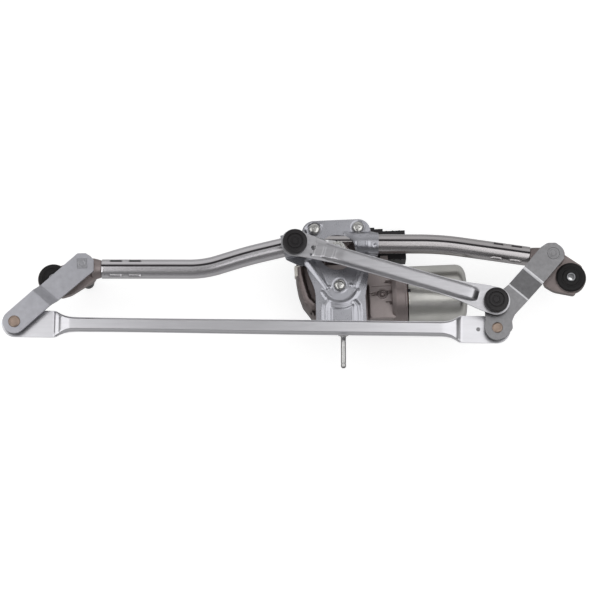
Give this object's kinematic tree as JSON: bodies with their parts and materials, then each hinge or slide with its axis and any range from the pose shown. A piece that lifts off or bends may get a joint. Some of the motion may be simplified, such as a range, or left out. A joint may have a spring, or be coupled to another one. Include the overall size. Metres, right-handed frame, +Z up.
{
  "type": "wiper linkage",
  "caption": "Windscreen wiper linkage: geared motor on a bracket between two tubes, a crank, two pressed rods with ball sockets, and two levers on spindles in mounting housings.",
  "frame": {"origin": "middle of the upper end face of the right mounting sleeve", "axes": "+X along the linkage from the left mount to the right mount, +Y away from the locating pin, +Z up along the spindles, on the side of the levers and rods"},
  "size_m": [0.6134, 0.163, 0.1237],
  "materials": {
    "tube_steel": "galvanised steel tube, satin with faint draw lines",
    "casting": "brown-grey die casting, dull",
    "rubber": "black rubber, matt",
    "sleeve_steel": "zinc plated steel sleeve",
    "sintered": "sintered bronze bush",
    "bracket_steel": "zinc plated pressed sheet, blue-grey satin",
    "bright_steel": "bright turned steel",
    "screw_zinc": "zinc plated screw, shiny",
    "black_plastic": "black moulded plastic",
    "cream_plastic": "cream moulded plastic",
    "pin_brass": "tinned brass blades",
    "yoke_steel": "olive-grey passivated steel, satin",
    "magnet": "dark grey ferrite",
    "phenolic": "brown moulded board",
    "carbon": "carbon brush",
    "lever_zinc": "zinc plated steel strip, blue-grey satin",
    "rod_zinc": "bright zinc plated pressed sheet",
    "rivet_bronze": "brown phosphated steel",
    "gear_plastic": "natural moulded plastic",
    "winding": "varnished laminations and copper wire",
    "copper": "copper segments",
    "crank_steel": "zinc plated forged strip"
  },
  "bodies": {
    "frame": {"left_tube": "tube_steel", "right_tube": "tube_steel", "left_spindle_housing": "casting", "right_spindle_housing": "casting", "left_mount_bush": "rubber", "right_mount_bush": "rubber", "left_mount_sleeve": "sleeve_steel", "right_mount_sleeve": "sleeve_steel", "left_upper_bearing": "sintered", "left_lower_bearing": "sintered", "right_upper_bearing": "sintered", "right_lower_bearing": "sintered", "left_spindle_washer": "bright_steel", "right_spindle_washer": "bright_steel", "motor_bracket": "bracket_steel", "locating_pin": "bright_steel", "motor_screw_1": "screw_zinc", "motor_screw_2": "screw_zinc", "motor_screw_3": "screw_zinc", "gearbox_housing": "casting", "output_bearing": "sintered", "gear_cover": "black_plastic", "connector_pins": "pin_brass", "cover_screw_1": "screw_zinc", "cover_screw_2": "screw_zinc", "motor_yoke": "yoke_steel", "magnet_1": "magnet", "magnet_2": "magnet", "front_shaft_bearing": "bright_steel", "rear_shaft_bearing": "sintered", "brush_plate": "phenolic", "brush_1": "carbon", "brush_2": "carbon", "breather_plug": "cream_plastic"},
    "crank": {"output_shaft": "bright_steel", "worm_wheel": "gear_plastic", "crank_arm": "crank_steel", "crank_nut": "screw_zinc"},
    "armature": {"armature_shaft": "bright_steel", "armature_core": "winding", "commutator": "copper"},
    "right_lever": {"right_lever": "lever_zinc", "right_spindle": "bright_steel", "right_spindle_cap": "black_plastic", "right_upper_stud": "rivet_bronze", "right_lower_stud": "rivet_bronze"},
    "left_lever": {"left_lever": "lever_zinc", "left_spindle": "bright_steel", "left_spindle_cap": "black_plastic", "left_lever_rivet": "rivet_bronze"},
    "short_rod": {"short_rod": "rod_zinc", "short_rod_left_socket": "black_plastic", "short_rod_right_socket": "black_plastic", "crank_stud": "rivet_bronze"},
    "long_rod": {"long_rod": "rod_zinc", "long_rod_left_socket": "black_plastic", "long_rod_right_socket": "black_plastic", "left_lever_stud": "rivet_bronze"}
  },
  "joints": [
    {"name": "crank_turn", "type": "hinge", "parent": "frame", "child": "crank", "pos_m": [-0.2456, 0.0289, 0.015], "axis": [0, 0, 1], "range_deg": [0, 164]},
    {"name": "armature_spin", "type": "hinge", "parent": "frame", "child": "armature", "pos_m": [-0.24372, -0.01426, -0.045], "axis": [0.999, 0.0436, 0], "range_deg": [0, 8300]},
    {"name": "right_spindle_turn", "type": "hinge", "parent": "frame", "child": "right_lever", "pos_m": [-0.019, 0.0232, 0.006], "axis": [0, 0, 1], "range_deg": [0, 64.5]},
    {"name": "left_spindle_turn", "type": "hinge", "parent": "frame", "child": "left_lever", "pos_m": [-0.5138, 0.0122, 0.006], "axis": [0, 0, 1], "range_deg": [0, 71.68]},
    {"name": "short_rod_swing", "type": "hinge", "parent": "right_lever", "child": "short_rod", "pos_m": [-0.0812, -0.0312, 0.0253], "axis": [0, 0, 1], "range_deg": [-66.9, 0]},
    {"name": "long_rod_swing", "type": "hinge", "parent": "right_lever", "child": "long_rod", "pos_m": [-0.0796, -0.0578, 0.0047], "axis": [0, 0, 1], "range_deg": [-62.95, 0]}
  ],
  "couplings": [
    {"joint": "armature_spin", "follows": "crank_turn", "ratio": 50},
    {"joint": "right_spindle_turn", "follows": "crank_turn", "ratio": 0.39319},
    {"joint": "left_spindle_turn", "follows": "crank_turn", "ratio": 0.43693},
    {"joint": "short_rod_swing", "follows": "crank_turn", "ratio": -0.40781},
    {"joint": "long_rod_swing", "follows": "crank_turn", "ratio": -0.38371}
  ]
}
